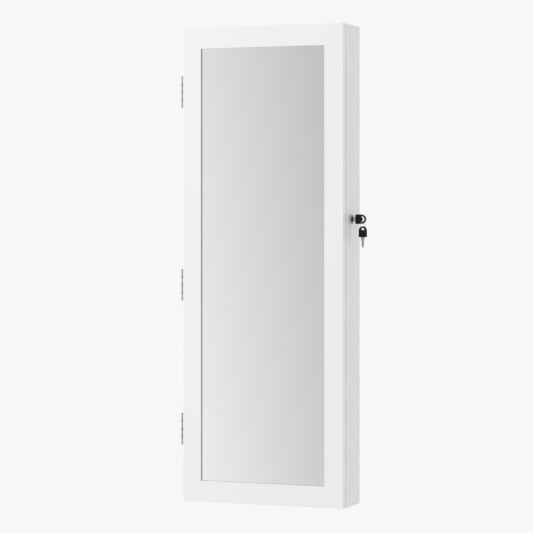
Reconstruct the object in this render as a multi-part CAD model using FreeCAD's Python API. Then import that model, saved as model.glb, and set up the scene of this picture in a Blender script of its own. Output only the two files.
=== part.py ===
import FreeCAD, Part
import math
import os

from FreeCAD import Placement, Rotation, Vector

# Wall-hung jewelry cabinet with a framed mirror door, three knuckle hinges and a cam lock.
#
# A shallow box of painted board hangs on four screws. Its door is a stile-and-rail frame round a mirror,
# and swings on three hinges at its left edge. A cam lock through the right side turns a hooked cam into a
# strike plate on the door. One key is in the lock, and a ring through its bow carries the spare key.
#
# Millimetres. X runs to the right along the wall, Y into the wall, Z up. The origin is the middle of the
# cabinet's back face, so the wall is the plane Y = 0 and the door is on the -Y side.

# ---- overall size ----
cabinet_height = 1060.0
cabinet_width = 382.0
cabinet_depth = 108.0

# ---- carcass boards ----
side_board = 12.0
end_board = 12.0
back_board = 5.0
back_rebate = 6.0  # how far the back panel reaches into the edges of the boards round it
rail_thickness = 16.0
rail_height = 60.0
lining_thickness = 2.0

# ---- wall screw holes, in the two hanging rails ----
wall_screw_hole_radius = 2.75
wall_screw_across = 270.0

# ---- shelves: each rise is from the bottom board to the shelf's top face ----
shelf_thickness = 9.0
shelf_groove = 4.0  # how deep each end is let into the sides
shelf_setback = 6.6
necklace_shelf_rise = 568.0
ring_shelf_rise = 411.0
upper_shelf_rise = 292.0
lower_shelf_rise = 164.0

# ---- clear guard strips along the front of the open shelves ----
guard_thickness = 3.0
guard_height = 30.0
guard_setback = 3.0  # behind the shelf's front edge
guard_slot = 4.0  # how deep each end is let into the sides
guard_clearance = 0.2

# ---- necklace hooks: one moulded strip ----
hook_count = 10
hook_pitch = 32.0
hook_width = 4.5
hook_reach = 26.0  # from the strip to the outside of the tip
hook_thickness = 3.5
hook_tip_rise = 12.0
hook_bend = 5.0  # how far the slanted corner reaches along each of its two arms
hook_root = 3.0  # the fillet's size under and over the hook, where it leaves the strip
strip_height = 22.0
strip_thickness = 3.0
strip_end_margin = 12.0

# ---- ring pad: padded rolls on a board ----
ring_board_thickness = 6.0
ring_board_clearance = 1.0
roll_count = 6
roll_height = 22.5
roll_depth = 17.0
roll_crown = 9.5
roll_gap = 1.2
roll_end_form = ((0.0, 0.7), (4.0, 1.0))  # (distance from the end, share of the full section)
roll_side_margin = 3.0

# ---- door frame and mirror ----
door_thickness = 15.0
door_gap = 2.4
stile_width = 44.0
rail_width = 47.0
mirror_recess = 4.5
mirror_lap = 6.0
mirror_thickness = 3.0
mirror_clearance = 0.5
door_edge_round = 0.8
backing_thickness = 3.0
door_lining_thickness = 3.0

# ---- earring bars on the door's lining ----
earring_bar_length = 250.0
earring_bar_height = 22.0
earring_bar_thickness = 2.5
earring_bar_standoff = 10.5
earring_bar_drops = (89.0, 189.0, 289.0)  # from the door's top to each bar's top
earring_slot_width = 2.0
earring_slot_height = 9.0
earring_slot_pitch = 12.0
earring_slot_count = 18
earring_spacer_across_flats = 6.0
earring_spacer_inset = 9.0

# ---- hinges ----
upper_hinge_drop = 142.0  # from the cabinet's top to the hinge's middle
middle_hinge_rise = 484.0  # from the cabinet's bottom
lower_hinge_rise = 160.0
hinge_length = 70.0
hinge_axis_out = 7.9  # from the cabinet's left face to the pin
knuckle_radius = 3.1
knuckle_count = 4
knuckle_gap = 0.4
knuckle_clearance = 0.3
pin_radius = 1.5
pin_running_clearance = 0.05
leaf_thickness = 1.0
leaf_reach = 10.5  # how far a leaf lies on its board
leaf_screw_count = 2
leaf_screw_pitch = 44.0

# ---- small countersunk screws, in the hinges, the strike and the catch ----
screw_head_radius = 2.6
screw_shank_radius = 1.4
screw_length = 11.0
screw_hole_spare = 1.0
screw_sides = 8  # a plain polygon, because the screws are many and small

# ---- magnetic catch ----
catch_from_side = 71.0  # its middle, from the cabinet's right side
catch_length = 34.0
catch_height = 12.0
catch_depth = 16.0
catch_ear = 9.0
catch_ear_thickness = 3.0
catch_pole_length = 28.0
catch_pole_depth = 12.0
catch_pole_thickness = 1.6
catch_pole_reach = 0.8
catch_magnet_thickness = 4.0
catch_plate_thickness = 1.2
catch_plate_height = 10.0
catch_air_gap = 0.4

# ---- felt bumpers on the right side's front edge ----
bumper_width = 8.0
bumper_length = 16.0
bumper_air_gap = 0.3
bumper_from_end = 50.0

# ---- cam lock ----
lock_rise = 632.0  # from the cabinet's bottom
lock_from_door_front = 52.0
bezel_radius = 11.3
bezel_front_radius = 9.0
bezel_thickness = 3.2
bezel_rim = 1.0
barrel_radius = 9.4
barrel_flat_across = 16.4
barrel_length = 22.0
barrel_clearance = 0.2
nut_across_flats = 23.0
nut_thickness = 4.0
plug_radius = 6.3
plug_head_radius = 7.4
plug_head_thickness = 1.8
plug_clearance = 0.08
plug_face_recess = 0.6
keyway_clearance = 0.2
keyway_spare_depth = 1.5
spigot_across = 7.0
cam_thickness = 2.0
cam_air_gap = 0.4
cam_boss_radius = 8.0
cam_arm_half_width = 7.0
cam_throat_start = 12.0
cam_throat_end = 20.0
cam_throat_floor = -1.0
cam_finger_width = 5.0
cam_finger_rise = 8.0
cam_screw_across_flats = 8.0
cam_screw_head_thickness = 2.6
cam_screw_radius = 2.0
cam_screw_depth = 6.0

# ---- strike plate on the door ----
strike_thickness = 1.5
strike_rise = 0.5  # its shelf above the lock's axis
strike_bar = 4.0
strike_bar_clearance = 1.5
strike_slot_length = 9.5
strike_slot_width = 7.0
strike_border = 3.5
strike_flange_height = 26.0
strike_screw_shares = (0.25, 0.75)  # how far up the flange each screw is

# ---- keys ----
bow_length = 24.2
bow_base_half_width = 10.7
bow_base_round = 2.5
bow_arch_radius = 10.4
bow_thickness = 4.4
bow_hole_radius = 6.2
bow_rim = 3.1
bow_opening = 5.0  # the hole's width in front of its tab
bow_from_side = 10.3
blade_length = 22.6
blade_width = 7.0
blade_thickness = 2.0
blade_shoulder_width = 10.5
blade_shoulder_straight = 3.0
blade_shoulder_length = 7.0
blade_tip = 2.5
blade_tang_width = 7.0
blade_tang_length = 8.0
blade_groove_width = 1.4
blade_groove_depth = 0.5
blade_groove_spacing = 2.6
bitting_first = 8.7  # from the bow to the middle of the first cut
bitting_pitch = 3.2
bitting_depths = (0.7, 1.2, 0.9, 1.1)
bitting_land = 1.0

# ---- key ring ----
ring_wire = 0.9  # the side of the wire's square section
ring_inner_radius = 7.4
ring_yaw = 23.0  # how far the hanging ring is turned from square to the key
ring_from_hole_centre = 2.0  # along the key
ring_seat_gap = 0.3

# ---- places worked out from the sizes above ----
half_width = cabinet_width / 2
half_height = cabinet_height / 2
inner_x = half_width - side_board
inner_z = half_height - end_board
door_front = -cabinet_depth
door_back = door_front + door_thickness
carcass_front = door_back + door_gap
lining_front = -back_board - lining_thickness
rail_front = -back_board - rail_thickness
rail_middle_z = inner_z - rail_height / 2
necklace_shelf_top = necklace_shelf_rise - inner_z
ring_shelf_top = ring_shelf_rise - inner_z
upper_shelf_top = upper_shelf_rise - inner_z
lower_shelf_top = lower_shelf_rise - inner_z
shelf_front = carcass_front + shelf_setback
guard_front = shelf_front + guard_setback
opening_half_width = half_width - stile_width
opening_half_height = half_height - rail_width
mirror_front = door_front + mirror_recess
backing_front = mirror_front + mirror_thickness
door_lining_front = backing_front + backing_thickness
door_lining_back = door_lining_front + door_lining_thickness
earring_bar_y = door_lining_back + earring_bar_standoff
earring_bar_tops = [half_height - drop for drop in earring_bar_drops]
hinge_rises = (cabinet_height - upper_hinge_drop, middle_hinge_rise, lower_hinge_rise)
hinge_centres = [rise - half_height for rise in hinge_rises]
hinge_x = -half_width - hinge_axis_out
hinge_y = (door_back + carcass_front) / 2
lock_y = door_front + lock_from_door_front
lock_height = lock_rise - half_height
catch_x = half_width - catch_from_side
barrel_end = half_width - barrel_length
cam_outer = barrel_end - cam_air_gap
cam_inner = cam_outer - cam_thickness
bow_start = half_width + bow_from_side
hole_centre = bow_length - bow_rim - bow_hole_radius  # along the key, from the bow's blade end
ring_radius = ring_inner_radius + ring_wire / 2  # to the middle of the wire
wire_reach = ring_wire / math.sqrt(2)  # from the middle of the wire to its corners
arch_centre = bow_length - bow_arch_radius
shelf_tops = {
    "necklace_shelf": necklace_shelf_top,
    "ring_shelf": ring_shelf_top,
    "upper_shelf": upper_shelf_top,
    "lower_shelf": lower_shelf_top,
}
guarded_floors = {
    "upper_guard_strip": upper_shelf_top,
    "middle_guard_strip": lower_shelf_top,
    "lower_guard_strip": -inner_z,
}
PAST = 1.0  # how far a cutting tool runs past the face that it cuts
NEARLY = 1e-6  # two measures closer than this are the same
RIGHTWARD = Vector(1, 0, 0)
INWARD = Vector(0, 1, 0)
OUTWARD = Vector(0, -1, 0)
UPWARD = Vector(0, 0, 1)


def block(x0, x1, y0, y1, z0, z1):
    """A box between two corners."""
    return Part.makeBox(x1 - x0, y1 - y0, z1 - z0, Vector(x0, y0, z0))


def rod(radius, start, end):
    """A cylinder from one point to another."""
    line = end - start
    return Part.makeCylinder(radius, line.Length, start, line)


def turned(points):
    """A solid turned on the X axis. Each point is (X, radius)."""
    outline = Part.makePolygon([Vector(x, radius, 0) for x, radius in points + points[:1]])
    return Part.Face(outline).revolve(Vector(), RIGHTWARD, 360)


def corner_ring(radius, sides, centre, along):
    """The corners of a regular polygon round a line along X, Y or Z."""
    spoke = Vector(radius, 0, 0) if along == UPWARD else Vector(0, 0, radius)
    return [centre + Rotation(along, 360 * i / sides).multVec(spoke) for i in range(sides)]


def hexagon(across_flats, centre, along):
    """A hexagonal face round a line, with a corner at the top."""
    corners = corner_ring(across_flats / math.sqrt(3), 6, centre, along)
    return Part.Face(Part.makePolygon(corners + corners[:1]))


def bored(solid, tools):
    """The solid less each tool."""
    return solid.cut(Part.makeCompound(tools))


# ---- carcass ----


def lock_hole():
    """The hole for the lock's flatted barrel, through the right side."""
    radius = barrel_radius + barrel_clearance
    across = barrel_flat_across + 2 * barrel_clearance
    return flatted_rod(radius, across, inner_x - PAST, half_width + PAST)


def guard_slots(side):
    """The pockets for the guard strips' ends, in the side on the given hand."""
    y0, y1 = guard_front - guard_clearance, guard_front + guard_thickness + guard_clearance
    x0, x1 = sorted((side * (inner_x - PAST), side * (inner_x + guard_slot)))
    top = guard_height + guard_clearance
    return [block(x0, x1, y0, y1, floor, floor + top) for floor in guarded_floors.values()]


def shelf_grooves(side):
    """The grooves that hold the shelves' ends, open at the back and stopped at the shelves' front edge."""
    tools = []
    for top in shelf_tops.values():
        x0, x1 = sorted((side * (inner_x - PAST), side * (inner_x + shelf_groove)))
        tools.append(block(x0, x1, shelf_front, lining_front, top - shelf_thickness, top))
    return tools


def side_panel(side):
    """A full-height side, rebated at the back and grooved for the shelves. side is 1 on the right."""
    x0, x1 = sorted((side * inner_x, side * half_width))
    panel = block(x0, x1, carcass_front, 0, -half_height, half_height)
    r0, r1 = sorted((side * (inner_x - PAST), side * (inner_x + back_rebate)))
    rebate_z = inner_z + back_rebate
    rebate = block(r0, r1, -back_board, PAST, -rebate_z, rebate_z)
    tools = [rebate] + shelf_grooves(side) + guard_slots(side)
    tools += [lock_hole()] if side > 0 else screw_holes(hinge_screw_places(1), INWARD)
    return bored(panel, tools)


def end_panel(side):
    """The top (side 1) or bottom (side -1) board, between the sides and rebated for the back."""
    z0, z1 = sorted((side * inner_z, side * half_height))
    panel = block(-inner_x, inner_x, carcass_front, 0, z0, z1)
    r0, r1 = sorted((side * (inner_z - PAST), side * (inner_z + back_rebate)))
    tools = [block(-half_width, half_width, -back_board, PAST, r0, r1)]
    if side > 0:
        tools += screw_holes(catch_screw_places(), UPWARD)
    return bored(panel, tools)


def wall_screw_holes(front):
    """Clear holes for the four wall screws, from a front plane through to the wall."""
    holes = []
    for x in (-wall_screw_across / 2, wall_screw_across / 2):
        for z in (-rail_middle_z, rail_middle_z):
            holes.append(rod(wall_screw_hole_radius, Vector(x, front - PAST, z), Vector(x, PAST, z)))
    return holes


def back_panel():
    """The back, let into the rebates of the boards round it."""
    x, z = inner_x + back_rebate, inner_z + back_rebate
    return bored(block(-x, x, -back_board, 0, -z, z), wall_screw_holes(-back_board))


def hanging_rail(side):
    """A rail between the sides that takes two wall screws. side is 1 for the upper one."""
    z0, z1 = sorted((side * (inner_z - rail_height), side * inner_z))
    rail = block(-inner_x, inner_x, rail_front, -back_board, z0, z1)
    return bored(rail, wall_screw_holes(rail_front))


def back_lining():
    """The covered board on the back panel, between the two rails."""
    z = inner_z - rail_height
    return block(-inner_x, inner_x, lining_front, -back_board, -z, z)


def shelf(top):
    """A shelf, its ends in the sides' grooves."""
    x = inner_x + shelf_groove
    return block(-x, x, shelf_front, lining_front, top - shelf_thickness, top)


def guard_strip(floor):
    """A clear strip that stands on a shelf's front edge, its ends in the sides' pockets."""
    x = inner_x + guard_slot - guard_clearance
    return block(-x, x, guard_front, guard_front + guard_thickness, floor, floor + guard_height)


def hook_profile(x):
    """One hook's side view: an arm out of the strip, a slanted corner and a tip that rises."""
    root = rail_front - strip_thickness
    tip = root - hook_reach
    low = rail_middle_z - strip_height / 2 + hook_root
    top = low + hook_tip_rise
    inside_y, inside_z = tip + hook_thickness, low + hook_thickness
    slack = hook_bend - hook_thickness
    outline = [
        (root, low - hook_root),
        (root - hook_root, low),
        (tip + hook_bend, low),
        (tip, low + hook_bend),
        (tip, top - hook_thickness / 2),
        (tip + hook_thickness / 2, top),
        (inside_y, top - hook_thickness / 2),
        (inside_y, inside_z + slack),
        (inside_y + slack, inside_z),
        (root - hook_root, inside_z),
        (root, inside_z + hook_root),
    ]
    return Part.Face(Part.makePolygon([Vector(x, y, z) for y, z in outline + outline[:1]]))


def necklace_hooks():
    """A moulded strip on the upper rail with a row of hooks along it."""
    first = -hook_pitch * (hook_count - 1) / 2
    half = -first + strip_end_margin
    low, high = rail_middle_z - strip_height / 2, rail_middle_z + strip_height / 2
    strip = block(-half, half, rail_front - strip_thickness, rail_front, low, high)
    starts = [first + i * hook_pitch - hook_width / 2 for i in range(hook_count)]
    hooks = [hook_profile(x).extrude(Vector(hook_width, 0, 0)) for x in starts]
    return strip.fuse(hooks).removeSplitter()


# ---- ring pad ----


def ring_board():
    """The board that the padded rolls are glued to, between two shelves."""
    z0 = ring_shelf_top
    z1 = necklace_shelf_top - shelf_thickness - ring_board_clearance
    x = inner_x - ring_board_clearance
    return block(-x, x, lining_front - ring_board_thickness, lining_front, z0, z1)


def roll_section(x, z, share):
    """A roll's outline at one place along it: flat at the back, straight-sided, with a crowned front."""
    back = lining_front - ring_board_thickness
    front = back - roll_depth * share
    shoulder = front + roll_crown * share
    low, high = z - roll_height / 2 * share, z + roll_height / 2 * share
    corners = [Vector(x, y, h) for y, h in ((shoulder, low), (back, low), (back, high), (shoulder, high))]
    crown = Part.Arc(corners[3], Vector(x, front, z), corners[0]).toShape()
    return Part.Wire(Part.makePolygon(corners).Edges + [crown])


def ring_roll(z):
    """One padded roll, drawn in at its ends."""
    end = inner_x - ring_board_clearance - roll_side_margin
    left = [roll_section(inset - end, z, share) for inset, share in roll_end_form]
    right = [roll_section(end - inset, z, share) for inset, share in reversed(roll_end_form)]
    return Part.makeLoft(left + right, True, True)


def ring_rolls():
    """The pad's rolls, evenly spaced up the board between the two shelves."""
    pitch = roll_height + roll_gap
    middle = (ring_shelf_top + necklace_shelf_top - shelf_thickness) / 2
    first = middle - (roll_count - 1) / 2 * pitch
    return Part.makeCompound([ring_roll(first + i * pitch) for i in range(roll_count)])


# ---- door ----


def door_panel_pocket():
    """The space behind the frame's front lip that holds the mirror, its backing and the lining."""
    x, z = opening_half_width + mirror_lap, opening_half_height + mirror_lap
    return block(-x, x, mirror_front, door_back + PAST, -z, z)


def door_frame():
    """The whole frame round the mirror, its front edges eased, before it is divided in four."""
    slab = block(-half_width, half_width, door_front, door_back, -half_height, half_height)
    x, z = opening_half_width, opening_half_height
    frame = slab.cut(block(-x, x, door_front - PAST, door_back + PAST, -z, z))
    front_edges = [e for e in frame.Edges if all(v.Y < door_front + PAST for v in e.Vertexes)]
    return frame.makeFillet(door_edge_round, front_edges).cut(door_panel_pocket())


def door_stile(side):
    """A full-height stile with a stopped rebate. side is 1 on the lock side."""
    x0, x1 = sorted((side * opening_half_width, side * half_width))
    stile = door_frame().common(block(x0, x1, door_front, door_back, -half_height, half_height))
    places = strike_screw_places() if side > 0 else hinge_screw_places(-1)
    return bored(stile, screw_holes(places, OUTWARD))


def door_rail(side):
    """A rail between the stiles, rebated along its inner edge. side is 1 at the top."""
    x = opening_half_width
    z0, z1 = sorted((side * opening_half_height, side * half_height))
    rail = door_frame().common(block(-x, x, door_front, door_back, z0, z1))
    if side < 0:
        return rail
    return bored(rail, screw_holes([catch_plate_screw_place()], OUTWARD))


def door_filling(front, thickness):
    """A sheet in the door's pocket: the mirror, its backing or the lined panel."""
    x = opening_half_width + mirror_lap - mirror_clearance
    z = opening_half_height + mirror_lap - mirror_clearance
    return block(-x, x, front, front + thickness, -z, z)


def mirror_glass():
    """The mirror, seated on the frame's lip."""
    return door_filling(mirror_front, mirror_thickness)


def mirror_backing():
    """The hardboard behind the mirror."""
    return door_filling(backing_front, backing_thickness)


def door_lining():
    """The covered panel that closes the door's back."""
    return door_filling(door_lining_front, door_lining_thickness)


def earring_bar(top):
    """A flat bar with a row of upright slots for earrings, standing off the door's lining."""
    half = earring_bar_length / 2
    middle = top - earring_bar_height / 2
    back = earring_bar_y + earring_bar_thickness
    bar = block(-half, half, earring_bar_y, back, top - earring_bar_height, top)
    z0, z1 = middle - earring_slot_height / 2, middle + earring_slot_height / 2
    slots = []
    for i in range(earring_slot_count):
        x = (i - (earring_slot_count - 1) / 2) * earring_slot_pitch
        x0, x1 = x - earring_slot_width / 2, x + earring_slot_width / 2
        slots.append(block(x0, x1, earring_bar_y - PAST, back + PAST, z0, z1))
    return bored(bar, slots)


def earring_spacers():
    """The hexagonal spacers that carry the earring bars."""
    x = earring_bar_length / 2 - earring_spacer_inset
    spacers = []
    for top in earring_bar_tops:
        z = top - earring_bar_height / 2
        for side in (-1, 1):
            foot = hexagon(earring_spacer_across_flats, Vector(side * x, door_lining_back, z), INWARD)
            spacers.append(foot.extrude(INWARD * earring_bar_standoff))
    return Part.makeCompound(spacers)


# ---- screws ----


def screw(place, along, hole_spare=0.0):
    """A countersunk screw, its flat head at a place. hole_spare lengthens the shank, to cut a hole."""
    depth = screw_head_radius - screw_shank_radius
    rings = [
        corner_ring(screw_head_radius, screw_sides, place, along),
        corner_ring(screw_shank_radius, screw_sides, place + along * depth, along),
        corner_ring(screw_shank_radius, screw_sides, place + along * (screw_length + hole_spare), along),
    ]
    outlines = [rings[0], rings[-1]]
    for near, far in zip(rings, rings[1:]):
        outlines += [[near[i - 1], near[i], far[i], far[i - 1]] for i in range(screw_sides)]
    return Part.Solid(Part.Shell([Part.Face(Part.makePolygon(o + o[:1])) for o in outlines]))


def screw_holes(places, along):
    """The countersunk holes for the screws at some places."""
    return [screw(place, along, screw_hole_spare) for place in places]


def screws(places, along):
    """The screws at some places."""
    return Part.makeCompound([screw(place, along) for place in places])


# ---- hinges ----


def hinge_screw_places(side):
    """The screw heads' places on the cabinet's leaves (side 1) or the door's (side -1)."""
    x = -half_width + leaf_reach / 2
    y = hinge_y + side * (door_gap / 2 - leaf_thickness)
    rows = [(i - (leaf_screw_count - 1) / 2) * leaf_screw_pitch for i in range(leaf_screw_count)]
    return [Vector(x, y, centre + dz) for centre in hinge_centres for dz in rows]


def hinge_leaves(side):
    """The three leaves on the cabinet (side 1) or the door (side -1)."""
    return Part.makeCompound([hinge_leaf(centre, side) for centre in hinge_centres])


def hinge_pins():
    """The pins of the three hinges."""
    return Part.makeCompound([hinge_pin(centre) for centre in hinge_centres])


def hinge_leaf(centre, side):
    """One leaf with its knuckles. The cabinet's leaf (side 1) has the lowest knuckle, and grips the pin."""
    y0, y1 = sorted((hinge_y + side * door_gap / 2, hinge_y + side * (door_gap / 2 - leaf_thickness)))
    low, high = centre - hinge_length / 2, centre + hinge_length / 2
    plate_start = hinge_x + knuckle_radius + knuckle_clearance
    leaf = block(plate_start, -half_width + leaf_reach, y0, y1, low, high)
    length = (hinge_length + knuckle_gap) / knuckle_count - knuckle_gap
    for i in range(0 if side > 0 else 1, knuckle_count, 2):
        z0 = low + i * (length + knuckle_gap)
        tongue = block(hinge_x, plate_start, y0, y1, z0, z0 + length)
        knuckle = rod(knuckle_radius, Vector(hinge_x, hinge_y, z0), Vector(hinge_x, hinge_y, z0 + length))
        leaf = leaf.fuse([tongue, knuckle])
    bore = pin_radius if side > 0 else pin_radius + pin_running_clearance
    tools = [rod(bore, Vector(hinge_x, hinge_y, low - PAST), Vector(hinge_x, hinge_y, high + PAST))]
    tools += screw_holes(hinge_screw_places(side), INWARD if side > 0 else OUTWARD)
    return bored(leaf.removeSplitter(), tools)


def hinge_pin(centre):
    """A pin through one hinge's knuckles, flush at both ends."""
    half = hinge_length / 2
    return rod(pin_radius, Vector(hinge_x, hinge_y, centre - half), Vector(hinge_x, hinge_y, centre + half))


# ---- magnetic catch and bumpers ----


def catch_middle_z():
    """The height of the middle of the magnetic catch."""
    return inner_z - catch_height / 2


def catch_screw_places():
    """The heads' places of the two screws that hold the catch under the top board."""
    y = carcass_front + catch_depth / 2
    reach = catch_length / 2 + catch_ear / 2
    return [Vector(catch_x + side * reach, y, inner_z - catch_ear_thickness) for side in (-1, 1)]


def catch_plate_screw_place():
    """The head's place of the screw in the middle of the catch's plate."""
    return Vector(catch_x, door_back + catch_plate_thickness, catch_middle_z())


def catch_poles():
    """The two steel strips whose ends stand out of the catch towards the door."""
    front = door_back + catch_plate_thickness + catch_air_gap
    x0, x1 = catch_x - catch_pole_length / 2, catch_x + catch_pole_length / 2
    poles = []
    for side in (-1, 1):
        inner = catch_middle_z() + side * catch_magnet_thickness / 2
        z0, z1 = sorted((inner, inner + side * catch_pole_thickness))
        poles.append(block(x0, x1, front, front + catch_pole_depth, z0, z1))
    return Part.makeCompound(poles)


def catch_magnet():
    """The flat magnet between the poles."""
    front = door_back + catch_plate_thickness + catch_air_gap + catch_pole_reach
    back = front + catch_pole_depth - catch_pole_reach
    x0, x1 = catch_x - catch_pole_length / 2, catch_x + catch_pole_length / 2
    z0 = catch_middle_z() - catch_magnet_thickness / 2
    return block(x0, x1, front, back, z0, z0 + catch_magnet_thickness)


def catch_case():
    """The moulded case of the catch, with an ear at each end for a screw."""
    front = door_back + catch_plate_thickness + catch_air_gap + catch_pole_reach
    back = front + catch_depth
    half = catch_length / 2
    case = block(catch_x - half, catch_x + half, front, back, inner_z - catch_height, inner_z)
    reach = half + catch_ear
    ears = block(catch_x - reach, catch_x + reach, front, back, inner_z - catch_ear_thickness, inner_z)
    tools = [catch_poles(), catch_magnet()] + screw_holes(catch_screw_places(), UPWARD)
    return bored(case.fuse(ears).removeSplitter(), tools)


def catch_plate():
    """The steel plate on the door that the magnet holds."""
    x0, x1 = catch_x - catch_length / 2, catch_x + catch_length / 2
    z0 = catch_middle_z() - catch_plate_height / 2
    plate = block(x0, x1, door_back, door_back + catch_plate_thickness, z0, z0 + catch_plate_height)
    return bored(plate, screw_holes([catch_plate_screw_place()], OUTWARD))


def door_bumpers():
    """Felt pads on the right side's front edge, near its ends."""
    x = half_width - side_board / 2
    y = door_back + bumper_air_gap
    pads = []
    for side in (-1, 1):
        z = side * (half_height - bumper_from_end)
        across, along = bumper_width / 2, bumper_length / 2
        pads.append(block(x - across, x + across, y, carcass_front, z - along, z + along))
    return Part.makeCompound(pads)


# ---- cam lock ----


def on_axis(x):
    """The point of the lock's axis at one X."""
    return Vector(x, lock_y, lock_height)


def flatted_rod(radius, across, x0, x1):
    """A rod on the lock's axis with two flats, above and below."""
    z0, z1 = lock_height - across / 2, lock_height + across / 2
    between_flats = block(x0, x1, lock_y - radius, lock_y + radius, z0, z1)
    return rod(radius, on_axis(x0), on_axis(x1)).common(between_flats)


def lock_turned(points):
    """A solid turned on the lock's axis. Each point is (X, radius)."""
    solid = turned(points)
    solid.translate(on_axis(0))
    return solid


def lock_housing():
    """The lock's body: a bevelled bezel on a flatted barrel, bored and counterbored for the plug."""
    front = half_width + bezel_thickness
    bezel = lock_turned([
        (half_width, 0),
        (half_width, bezel_radius),
        (half_width + bezel_rim, bezel_radius),
        (front, bezel_front_radius),
        (front, 0),
    ])
    barrel = flatted_rod(barrel_radius, barrel_flat_across, barrel_end, half_width)
    seat = front - plug_face_recess - plug_head_thickness
    bore = lock_turned([
        (barrel_end - PAST, 0),
        (barrel_end - PAST, plug_radius + plug_clearance),
        (seat, plug_radius + plug_clearance),
        (seat, plug_head_radius + plug_clearance),
        (front + PAST, plug_head_radius + plug_clearance),
        (front + PAST, 0),
    ])
    return bezel.fuse(barrel).removeSplitter().cut(bore)


def lock_nut():
    """The hexagonal nut that clamps the housing to the side."""
    face = hexagon(nut_across_flats, on_axis(inner_x), RIGHTWARD)
    nut = face.extrude(RIGHTWARD * -nut_thickness)
    start = inner_x - nut_thickness - PAST
    return nut.cut(flatted_rod(barrel_radius, barrel_flat_across, start, inner_x + PAST))


def spigot(x0, x1):
    """The square end of the plug, which turns the cam."""
    half = spigot_across / 2
    return block(x0, x1, lock_y - half, lock_y + half, lock_height - half, lock_height + half)


def cam_screw_shank():
    """The shank of the cam's screw."""
    return rod(cam_screw_radius, on_axis(cam_inner), on_axis(cam_inner + cam_screw_depth))


def lock_plug():
    """The turning plug: a head, a round body with the keyway, and a square spigot for the cam."""
    face = half_width + bezel_thickness - plug_face_recess
    body = lock_turned([
        (cam_outer, 0),
        (cam_outer, plug_radius),
        (face - plug_head_thickness, plug_radius),
        (face - plug_head_thickness, plug_head_radius),
        (face, plug_head_radius),
        (face, 0),
    ])
    plug = body.fuse(spigot(cam_inner, cam_outer)).removeSplitter()
    x0 = bow_start - blade_length - keyway_spare_depth
    y = blade_thickness / 2 + keyway_clearance
    z = blade_width / 2 + keyway_clearance
    keyway = block(x0, face + PAST, lock_y - y, lock_y + y, lock_height - z, lock_height + z)
    return bored(plug, [keyway, cam_screw_shank()])


def lock_cam():
    """The hooked cam, open: it hangs from the plug with its finger towards the door.

    Its outline is drawn with the finger up and the arm along +X, then turned into place.
    """
    end = cam_throat_end + cam_finger_width
    outline = [
        (0, -cam_arm_half_width),
        (end - cam_arm_half_width, -cam_arm_half_width),
        (end, 0),
        (end, cam_finger_rise),
        (cam_throat_end, cam_finger_rise),
        (cam_throat_end, cam_throat_floor),
        (cam_throat_start, cam_throat_floor),
        (cam_throat_start, cam_arm_half_width),
        (0, cam_arm_half_width),
    ]
    points = [on_axis(cam_inner) + Vector(0, -rise, -reach) for reach, rise in outline + outline[:1]]
    arm = Part.Face(Part.makePolygon(points)).extrude(RIGHTWARD * cam_thickness)
    boss = rod(cam_boss_radius, on_axis(cam_inner), on_axis(cam_outer))
    return arm.fuse(boss).removeSplitter().cut(spigot(cam_inner - PAST, cam_outer + PAST))


def cam_screw():
    """The hexagon-headed screw that holds the cam on the plug."""
    face = hexagon(cam_screw_across_flats, on_axis(cam_inner), RIGHTWARD)
    head = face.extrude(RIGHTWARD * -cam_screw_head_thickness)
    return head.fuse(cam_screw_shank()).removeSplitter()


# ---- strike plate ----


def strike_edges():
    """The strike's two edges in X, its middle being the cam's."""
    half = strike_slot_width / 2 + strike_border
    middle = (cam_inner + cam_outer) / 2
    return middle - half, middle + half


def strike_screw_places():
    """The heads' places of the screws through the strike's flange."""
    x = (cam_inner + cam_outer) / 2
    shelf = lock_height + strike_rise + strike_thickness
    rise = strike_flange_height - strike_thickness
    return [Vector(x, door_back + strike_thickness, shelf + rise * share) for share in strike_screw_shares]


def strike_plate():
    """A bent plate: a flange screwed to the door and a slotted shelf that the cam hooks."""
    x0, x1 = strike_edges()
    low = lock_height + strike_rise
    slot_end = lock_y - cam_throat_end + strike_bar_clearance
    flange = block(x0, x1, door_back, door_back + strike_thickness, low, low + strike_flange_height)
    ledge = block(x0, x1, door_back, slot_end + strike_bar, low, low + strike_thickness)
    plate = flange.fuse(ledge).removeSplitter()
    bend = [e for e in plate.Edges if on_line(e, door_back, low)]
    bend += [e for e in plate.Edges if on_line(e, door_back + strike_thickness, low + strike_thickness)]
    plate = plate.makeFillet(strike_thickness / 2, bend)
    slot_start = slot_end - strike_slot_length
    s0, s1 = x0 + strike_border, x1 - strike_border
    slot = block(s0, s1, slot_start, slot_end, low - PAST, low + strike_thickness + PAST)
    return bored(plate, [slot] + screw_holes(strike_screw_places(), OUTWARD))


def on_line(edge, y, z):
    """Whether an edge lies along X at a given Y and Z."""
    return all(abs(v.Y - y) + abs(v.Z - z) < NEARLY for v in edge.Vertexes)


# ---- keys ----


def bow_outline():
    """The bow's face: a square base with rounded corners and a round arch."""
    h, r = bow_base_half_width, bow_base_round
    diagonal = r * (1 - math.sqrt(0.5))
    base = [Vector(0, 0, r - h), Vector(0, 0, h - r)]
    upper_side = [Vector(r, 0, h), Vector(arch_centre, 0, bow_arch_radius)]
    lower_side = [Vector(arch_centre, 0, -bow_arch_radius), Vector(r, 0, -h)]
    edges = [
        Part.makeLine(*base),
        Part.Arc(base[1], Vector(diagonal, 0, h - diagonal), upper_side[0]).toShape(),
        Part.makeLine(*upper_side),
        Part.Arc(upper_side[1], Vector(bow_length, 0, 0), lower_side[0]).toShape(),
        Part.makeLine(*lower_side),
        Part.Arc(lower_side[1], Vector(diagonal, 0, diagonal - h), base[0]).toShape(),
    ]
    return Part.Face(Part.Wire(edges))


def along_y(radius, x, half):
    """A rod through the bow, square to its face."""
    return rod(radius, Vector(x, -half, 0), Vector(x, half, 0))


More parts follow.
